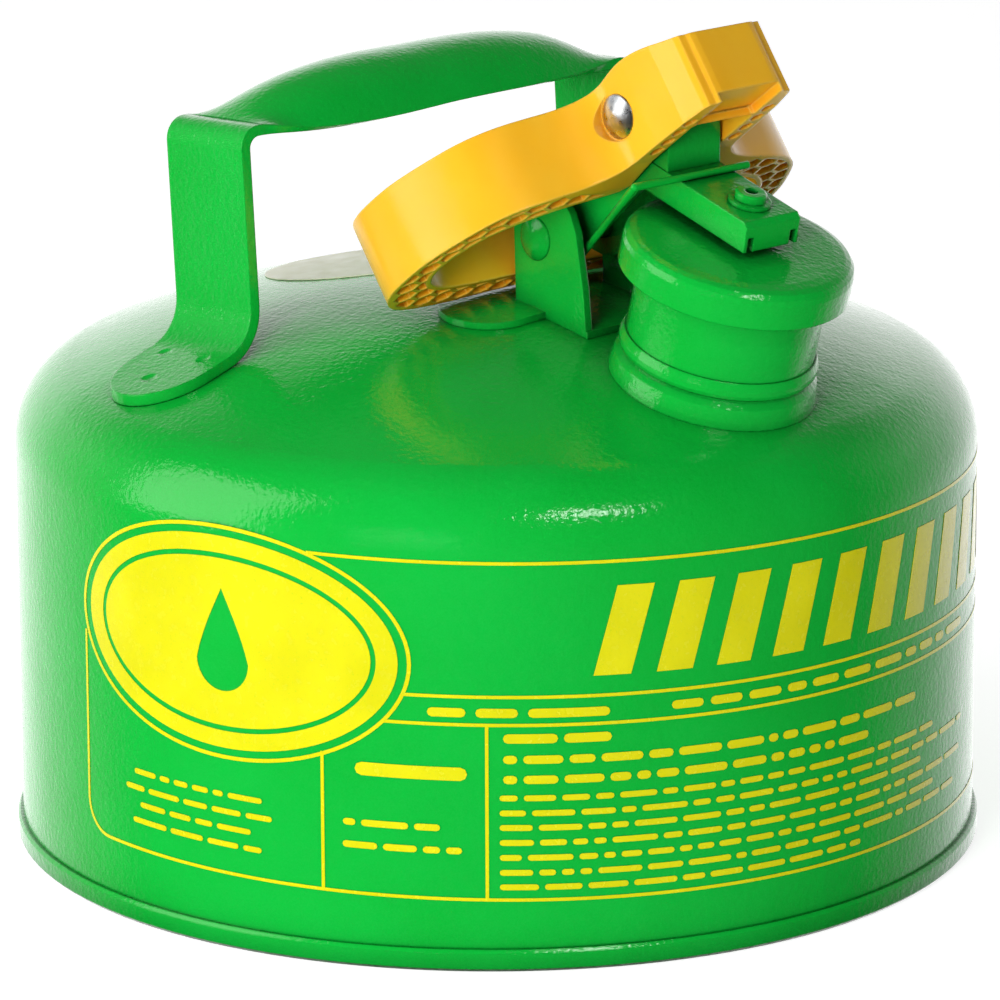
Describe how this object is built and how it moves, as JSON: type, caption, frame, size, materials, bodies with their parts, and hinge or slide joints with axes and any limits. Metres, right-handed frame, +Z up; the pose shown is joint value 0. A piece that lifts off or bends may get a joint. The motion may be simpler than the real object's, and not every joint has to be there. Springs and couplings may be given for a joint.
{
  "type": "safety gas can",
  "caption": "Round steel safety can with a fixed arched handle, a spring-closed lid on a lever and a squeeze trigger under the grip.",
  "frame": {"origin": "centre of the base ring, on the floor", "axes": "+Z up, +X from the can's axis towards the spout"},
  "size_m": [0.2286, 0.2286, 0.2041],
  "materials": {
    "green_paint": "gloss enamel, slight orange peel",
    "yellow_plastic": "moulded semi-gloss",
    "zinc": "zinc plated",
    "bare_steel": "plain",
    "seal_rubber": "matte",
    "pale_label": "satin label film"
  },
  "bodies": {
    "can": {"body_shell": "green_paint", "bottom_pan": "green_paint", "spout_neck": "green_paint", "spout_collar": "green_paint", "arrester_screen": "bare_steel", "arrester_ring": "bare_steel", "carrying_handle": "green_paint", "pivot_bracket": "green_paint", "pivot_rivet": "green_paint", "pivot_spacer": "green_paint", "blank_sticker": "pale_label"},
    "lid_lever": {"lid_lever": "green_paint", "trigger_upright": "green_paint", "torsion_spring": "green_paint"},
    "trigger": {"trigger_loop": "yellow_plastic", "trigger_pin": "zinc", "pin_push_nut": "zinc"},
    "lid": {"lid_cap": "green_paint", "lid_gasket": "seal_rubber", "gasket_keeper": "bare_steel", "lid_rivet": "green_paint", "lid_washer": "green_paint"}
  },
  "joints": [
    {"name": "lid_open", "type": "hinge", "parent": "can", "child": "lid_lever", "pos_m": [0.0305, 0, 0.1495], "axis": [0, -1, 0], "range_deg": [0, 16]},
    {"name": "trigger_squeeze", "type": "hinge", "parent": "lid_lever", "child": "trigger", "pos_m": [0.0595, 0, 0.1829], "axis": [0, -1, 0], "range_deg": [-24, 0]},
    {"name": "lid_swivel", "type": "hinge", "parent": "lid_lever", "child": "lid", "pos_m": [0.075, 0, 0.1229], "axis": [0.2672, 0, 0.9636], "continuous": true}
  ],
  "couplings": [
    {"joint": "trigger_squeeze", "follows": "lid_open", "ratio": -1.5}
  ]
}
